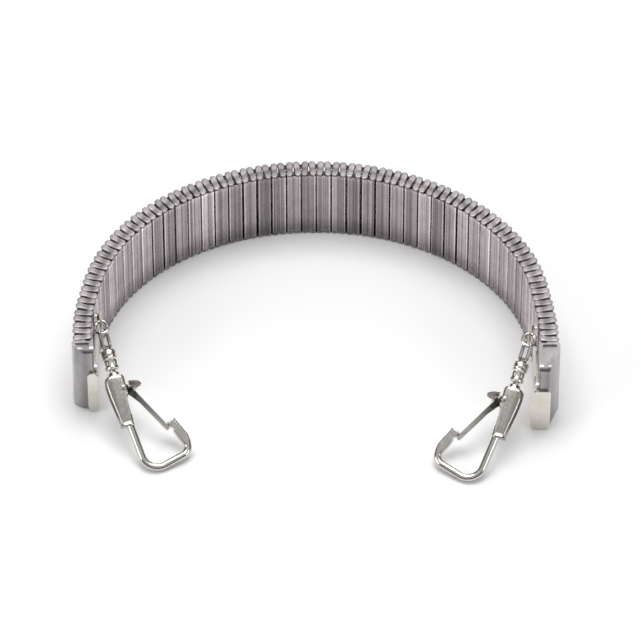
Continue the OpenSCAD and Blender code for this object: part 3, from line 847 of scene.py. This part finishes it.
def post_mesh():
    prof = [(0.0, 4.45), (0.86, 4.45), (0.86, 4.9), (0.7, 5.02), (0.62, 5.2), (0.62, 11.55), (0.82, 11.55), (0.86, 11.6), (0.86, 12.05), (0.8, 12.12), (0.0, 12.15)]
    return revolve_x(prof, 40)


def collar_mesh():
    prof = [(0.63, 5.0), (1.12, 5.0), (1.22, 5.03), (1.52, 5.17), (1.58, 5.21), (1.6, 5.28), (1.6, 5.45), (1.57, 5.5), (1.57, 5.56), (1.6, 5.61), (1.6, 6.55), (1.57, 6.6), (1.57, 6.66), (1.6, 6.71),
            (1.6, 6.86), (1.58, 6.92), (1.34, 7.07), (1.3, 7.13), (1.28, 7.25), (1.27, 8.35), (1.3, 8.48), (1.34, 8.53), (1.47, 8.63), (1.5, 8.7), (1.5, 9.12), (1.48, 9.19), (1.26, 9.36), (1.2, 9.4), (0.63, 9.4)]
    v, f = revolve_x(prof, 72)
    o = temp(v, f)
    clean(o)
    cut = []
    for a in (0, 90):
        w = prism(fillet([(7.32, -0.62), (8.28, -0.62), (8.28, 0.62), (7.32, 0.62)], 0.2), -3, 3)
        w.data.transform(Matrix(RX(a + 42).tolist()))
        cut.append(w)
    # the windows stop at the bore, so cut them from the shell only
    return take(csg(o, cut))


PIV = (13.6, 1.1)


def body_mesh():
    st = [  # x, v-, v+, w, exponent
        (9.93, 0.95, 0.95, 0.95, 2.0), (9.98, 1.08, 1.08, 1.08, 2.0), (10.08, 1.14, 1.14, 1.14, 2.0), (10.45, 1.15, 1.15, 1.15, 2.0),
        (10.6, 1.24, 1.26, 1.18, 2.6), (10.8, 1.75, 1.6, 1.27, 4.0), (11.05, 2.1, 1.84, 1.33, 3.6), (11.4, 2.32, 1.94, 1.35, 3.6),
        (13.0, 2.36, 1.96, 1.35, 3.6), (15.0, 2.2, 1.94, 1.35, 3.6), (17.0, 1.9, 1.86, 1.33, 3.6), (19.0, 1.58, 1.72, 1.29, 3.6),
        (20.6, 1.34, 1.6, 1.24, 3.4), (21.2, 1.24, 1.56, 1.2, 3.6), (21.28, 1.32, 1.62, 1.26, 3.6), (21.6, 1.32, 1.62, 1.26, 3.6), (21.68, 1.22, 1.52, 1.18, 3.6), (21.7, 1.1, 1.4, 1.08, 3.6)]
    rings = []
    for x, a0, a1, w, n in st:
        rings.append([(x, y, z) for y, z in superellipse(a0, a1, w, n, 64)])
    v, f = loft(rings)
    o = temp(v, f)
    clean(o)
    cut = [prism(fillet([(11.5, -1.3), (20.3, -1.05), (20.3, 4), (12.4, 4), (12.2, 1.35), (11.5, 1.35)], [0.3, 0.3, 0, 0, 0.2, 0.3]), -0.95, 0.95),
           rod((9, 0, 0), (12, 0, 0), 0.67), rod((PIV[0], PIV[1], -3), (PIV[0], PIV[1], 3), 0.38),
           rod((19, 0.47, 0), (19 + 4 * math.cos(R(6)), 0.47 + 4 * math.sin(R(6)), 0), 0.84, 48),
           prism(fillet([(14.4, 4), (15.4, 1.3), (20.0, 1.3), (21.0, 4)], [0, 1.2, 1.2, 0], 8), -2, 2)]
    return take(csg(o, cut))


# hook wire
V = [np.array(p, float) for p in ((19.0, 0.42), (32.5, 1.85), (29.5, 12.1), (24.6, 9.75))]


def wire_path():
    """Points and arc lengths of the hook's centreline, in the hook's plane."""
    def unit(a):
        return a / np.linalg.norm(a)

    def corner(a, b, c, r):
        half = math.acos(unit(a - b) @ unit(c - b)) / 2
        tl = r / math.tan(half)
        o = b + unit(unit(a - b) + unit(c - b)) * r / math.sin(half)
        p, q = b + unit(a - b) * tl, b + unit(c - b) * tl
        a0 = math.atan2(*(p - o)[::-1])
        d = (math.atan2(*(q - o)[::-1]) - a0 + 2 * PI) % (2 * PI)
        return p, q, [o + r * np.array([math.cos(a0 + d * k / 40), math.sin(a0 + d * k / 40)]) for k in range(41)]

    p1, q1, arc1 = corner(V[0], V[1], V[2], 3.3)
    p2, q2, arc2 = corner(V[1], V[2], V[3], 1.9)
    end = V[2] + unit(V[3] - V[2]) * 7.78
    pts = [V[0] + (p1 - V[0]) * k / 30 for k in range(30)] + arc1
    pts += [q1 + (p2 - q1) * k / 12 for k in range(1, 12)] + arc2
    pts += [q2 + (end - q2) * k / 70 for k in range(1, 71)]
    return np.array(pts), unit(V[3] - V[2])


def wire_mesh():
    p, u = wire_path()
    d = np.gradient(p, axis=0)
    d /= np.linalg.norm(d, axis=1)[:, None]
    rings, tone = [], []
    r = 0.83
    for i, (c, t) in enumerate(zip(p, d)):
        n = np.array([-t[1], t[0]])                       # to the inside of the loop
        along = (c - V[2]) @ u if (c - V[2]) @ u > -2 and i > 90 else -9
        flat = smooth(along, 1.2, 3.4)
        inn = r + (0.66 - r) * flat
        out = r + (1.30 - r) * flat
        inn += -0.34 * math.exp(-((along - 6.15) / 0.42) ** 2) + 0.06 * math.exp(-((along - 7.2) / 0.35) ** 2)
        for g in (5.7, 6.35, 7.0):
            out -= 0.10 * math.exp(-((along - g) / 0.11) ** 2) * flat
        b = r + (0.81 - r) * flat
        ex = 2.0 + 3.4 * flat
        # the foot is struck slightly flat on its outside
        foot = smooth(c[0], 29.5, 31.5) * (1 - smooth(along, -1.0, 0.8)) if i > 31 else 0.0
        out -= 0.06 * foot
        ex += 0.5 * foot
        # rounded end
        left = 7.78 - along
        k = 1.0
        if along > 0 and left < 0.22:
            k = 1 - 0.28 * (1 - left / 0.22) ** 2
        ring = []
        for a, w in superellipse(out * k, inn * k, b * k, ex, 40):
            q = c + n * a
            ring.append((q[0], q[1], w))
        rings.append(ring)
        tone.append(np.full(40, 0.5))
    v, f = loft(rings)
    return v, f, np.concatenate(tone)


def gate_mesh():
    arm = prism(fillet([(13.1, 1.3), (12.95, 2.3), (14.5, 3.3), (23.0, 8.12), (23.9, 8.52), (24.3, 8.2), (24.15, 7.85), (17.2, 3.85), (15.3, 2.3), (14.4, 1.2)],
                       [0.2, 0.25, 0.8, 0.6, 0.18, 0.15, 0.3, 2.0, 0.8, 0.3], 6), -0.5, 0.5)
    hub = rod((PIV[0], PIV[1], -0.5), (PIV[0], PIV[1], 0.5), 0.92, 48)
    half = [(2.45 * math.cos(PI * k / 36), 0.7 + 2.25 * math.sin(PI * k / 36)) for k in range(37)] + [(-0.7, 0.7), (-0.7, 0.0), (0.7, 0.0), (0.7, 0.7)]
    tab = prism(half, -0.25, 0.25, T(13.4, 2.15, 0) @ RY(58))
    o = csg(arm, [hub, tab], "UNION")
    o = csg(o, rod((PIV[0], PIV[1], -3), (PIV[0], PIV[1], 3), 0.42))
    return take(o)


def pin_mesh():
    prof = [(0.0, -1.59)]
    for k in range(7):
        th = PI / 2 * k / 6
        prof.append((0.05 + 0.57 * math.sin(th), -1.41 - 0.18 * math.cos(th)))
    prof += [(0.6, -1.37), (0.37, -1.37), (0.37, 1.37), (0.6, 1.37)]
    for k in range(7):
        th = PI / 2 * k / 6
        prof.append((0.05 + 0.57 * math.cos(th), 1.41 + 0.18 * math.sin(th)))
    prof.append((0.0, 1.59))
    v, f = revolve_x(prof, 36)
    return v, f


def tube(points, r, n=12):
    p = np.array(points, float)
    d = np.gradient(p, axis=0)
    d /= np.linalg.norm(d, axis=1)[:, None]
    up = np.array([0, 0, 1.0])
    rings = []
    for c, t in zip(p, d):
        s = np.cross(up, t)
        s = s / (np.linalg.norm(s) + 1e-9)
        w = np.cross(t, s)
        rings.append([c + r * (math.cos(2 * PI * k / n) * s + math.sin(2 * PI * k / n) * w) for k in range(n)])
    return loft(rings)


def gate_spring_mesh():
    """Torsion spring: one and a half close turns and two legs, beside the gate's hub."""
    pts = [(PIV[0] + 3.0, PIV[1] - 1.2, 0.72), (PIV[0] + 1.6, PIV[1] - 0.9, 0.72)]
    for k in range(37):
        a = -PI / 2 + 0.15 - 1.42 * 2 * PI * k / 36
        pts.append((PIV[0] + 0.64 * math.cos(a), PIV[1] + 0.64 * math.sin(a), 0.66 + 0.14 * k / 36))
    pts += [(PIV[0] + 0.9, PIV[1] + 1.0, 0.8), (PIV[0] + 1.3, PIV[1] + 1.5, 0.8)]
    return tube(pts, 0.1)


for s, side in enumerate(SIDES):
    ME, MH = at_end(s), at_hook(s)
    grp = f"link_group_{1 if s == 0 else 7}"

    sh = Shell()
    v, f = end_plate(s)
    # painted light and shade: the plate is darker (0.34) towards its far end and lighter (0.62) on its raised part
    sh.add(v, f, ME, tones_by(v, lambda p: 0.34 if p[0] > 5.0 - 1.5 * s and p[1] > -0.5 else 0.62 if p[1] > 1.5 else 0.5), 0.0)
    sh.build(f"{side}_folded_end_plate", PLATE, grp, [f"{side}_end_plate"], "end_plate_steel", bevel=0.12)

    sh = Shell()
    v, f = inner_plate(s)
    sh.add(v, f, ME, 0.5, 0.0)
    sh.build(f"{side}_bright_inner_plate", BRIGHT, grp, [f"{side}_inner_plate"], "bright_plate", bevel=0.10)

    rivets(s).build(f"{side}_domed_rivets", SATIN, grp, [f"{side}_plate_rivets"], "satin_nickel", sharp=40)

    sh = Shell()
    sh.add(*ring_mesh(), MH, 0.5, 0.0)
    sh.build(f"{side}_jump_ring", NICKEL, f"{side}_ring_body", [f"{side}_ring"], "bright_nickel")

    sh = Shell()
    sh.add(*eye_mesh(), MH, 0.5, 0.0)
    # painted shade: the post is darker (tone 0.45, near-black mix 0.25) where it sits in the collar
    sh.add(*post_mesh(), MH, 0.45, 0.25)
    sh.build(f"{side}_swivel_eyelet", NICKEL, f"{side}_swivel", [f"{side}_swivel_eye"], "bright_nickel", sharp=50)

    sh = Shell()
    v, f = collar_mesh()
    # painted shade in the bore seen through the windows (0.6 towards near-black)
    sh.add(v, f, MH, 0.5, np.where((v[:, 0] > 7.2) & (v[:, 0] < 8.4) & (np.hypot(v[:, 1], v[:, 2]) < 1.0), 0.6, 0.0))
    sh.build(f"{side}_stepped_collar", BRIGHT, f"{side}_swivel", [f"{side}_swivel_collar"], "bright_plate", sharp=40)

    sh = Shell()
    v, f = body_mesh()
    # painted shade inside the channel (0.75 towards near-black)
    inside = (np.abs(v[:, 2]) < 0.97) & (v[:, 0] > 11.4) & (v[:, 0] < 20.4) & (v[:, 1] < 1.5)
    # painted light and shade: the +v side is painted lighter (0.80) and the -v side darker (0.40)
    lit_and_shaded_sides = np.where(v[:, 1] > 0.9, 0.80, np.where(v[:, 1] < -0.9, 0.40, 0.52))
    sh.add(v, f, MH, lit_and_shaded_sides, np.where(inside, 0.75, 0.0))
    sh.build(f"{side}_channel_body", SATIN, f"{side}_hook", [f"{side}_hook_body"], "satin_nickel", bevel=0.07, angle=50)

    sh = Shell()
    v, f, tone = wire_mesh()
    sh.add(v, f, MH, tone, 0.0)
    sh.build(f"{side}_bent_wire_hook", NICKEL, f"{side}_hook", [f"{side}_hook_wire"], "bright_nickel", sharp=55)

    sh = Shell()
    v, f = gate_mesh()
    # painted shade darkening the gate towards its root at the pivot, spotted by noise
    root = np.array([1 - smooth(p[0], 16.5, 19.0) for p in v])
    # painted light: the thumb tab is given tone 1.1, more than twice as light as the arm
    tab = (np.abs(v[:, 2]) > 0.52) | ((v[:, 1] > 2.3) & (v[:, 0] < 13.9) & (v[:, 0] > 12.9))
    sh.add(v, f, MH, np.where(tab, 1.1, 0.5), np.where(tab, 0.0, 1.0 * root))
    sh.build(f"{side}_gate_lever_with_tab", SATIN, f"{side}_gate_lever", [f"{side}_gate"], "satin_nickel", bevel=0.08, angle=40)

    sh = Shell()
    v, f = pin_mesh()
    m = T(PIV[0], PIV[1], 0) @ RY(-90)
    # painted shade: the pin, inside the body, is mixed 0.1 towards near-black
    sh.add(v, f, MH @ m, 0.5, 0.1)
    sh.build(f"{side}_gate_pivot_pin", SATIN, f"{side}_hook", [f"{side}_gate_pin"], "satin_nickel", sharp=40)

    sh = Shell()
    # painted shade: the spring, tucked beside the hub, is mixed 0.2 towards near-black
    sh.add(*gate_spring_mesh(), MH, 0.5, 0.2)
    sh.build(f"{side}_gate_torsion_spring", DARK, f"{side}_hook", [f"{side}_gate_spring"], "spring_steel")


# ------------------------------------------------------------------ floor, light and camera
def plain(name, colour, rough=0.6):
    m = bpy.data.materials.new(name)
    m.use_nodes = True
    b = m.node_tree.nodes["Principled BSDF"]
    b.inputs["Base Color"].default_value = (*colour, 1)
    b.inputs["Roughness"].default_value = rough
    b.inputs["Specular IOR Level"].default_value = 0.2
    return m


bm = bmesh.new()
bmesh.ops.create_circle(bm, cap_ends=True, segments=96, radius=3.4)
me = bpy.data.meshes.new("floor")
bm.to_mesh(me)
bm.free()
floor = bpy.data.objects.new("floor", me)
floor.location = (0, 0, -0.00002)
me.materials.append(plain("pale floor", (0.93, 0.93, 0.93)))
bpy.context.scene.collection.objects.link(floor)


def area(name, loc, target, size, power, colour=(1, 1, 1), size_y=None):
    d = bpy.data.lights.new(name, "AREA")
    d.energy = power
    d.color = colour
    d.shape = "RECTANGLE"
    d.size = size
    d.size_y = size_y or size
    o = bpy.data.objects.new(name, d)
    o.location = loc
    o.rotation_euler = (Vector(target) - Vector(loc)).to_track_quat("-Z", "Y").to_euler()
    bpy.context.scene.collection.objects.link(o)
    return o


area("soft light overhead", (0.0, 0.15, 0.9), (0, 0, 0), 0.7, 4.9, size_y=0.5)
area("soft light left", (-0.8, -0.35, 0.45), (0, 0, 0.01), 0.5, 2.4)
area("soft light right", (0.75, -0.5, 0.5), (0, 0, 0.01), 0.4, 1.6)
area("soft light behind", (0.1, 0.9, 0.55), (0, 0, 0.01), 0.6, 2.0, size_y=0.3)

w = bpy.data.worlds.new("studio")
w.use_nodes = True
wn = w.node_tree.nodes
wl = w.node_tree.links
bg = wn["Background"]
tc = wn.new("ShaderNodeTexCoord")
sep = wn.new("ShaderNodeSeparateXYZ")
rmp = wn.new("ShaderNodeValToRGB")
wl.new(tc.outputs["Generated"], sep.inputs[0])
wl.new(sep.outputs["Z"], rmp.inputs["Fac"])
rmp.color_ramp.elements[0].position = 0.0
rmp.color_ramp.elements[0].color = (0.9, 0.9, 0.91, 1)
rmp.color_ramp.elements[1].position = 1.0
rmp.color_ramp.elements[1].color = (0.95, 0.95, 0.95, 1)
for pos, c in ((0.10, 0.50), (0.22, 0.05), (0.52, 0.09), (0.72, 0.8)):
    el = rmp.color_ramp.elements.new(pos)
    el.color = (c, c, c * 1.01, 1)
wl.new(rmp.outputs["Color"], bg.inputs["Color"])
bg.inputs["Strength"].default_value = 0.66
bpy.context.scene.world = w

cam_data = bpy.data.cameras.new("camera")
cam = bpy.data.objects.new("camera", cam_data)
bpy.context.scene.collection.objects.link(cam)
DIST, WIDTH = 1.5, 0.641 / 4.77
cam_data.sensor_width = 36.0
cam_data.lens = 36.0 * DIST / WIDTH
cam_data.clip_start, cam_data.clip_end = 0.05, 20.0
aim = Vector((0.000945, 0.000114, 0.0095))
back = Vector((0, -math.cos(R(50)), math.sin(R(50))))
cam.location = aim + back * DIST
cam.rotation_euler = (-back).to_track_quat("-Z", "Y").to_euler()
bpy.context.scene.camera = cam
bpy.context.scene.view_settings.view_transform = "Standard"
bpy.context.scene.view_settings.look = "None"
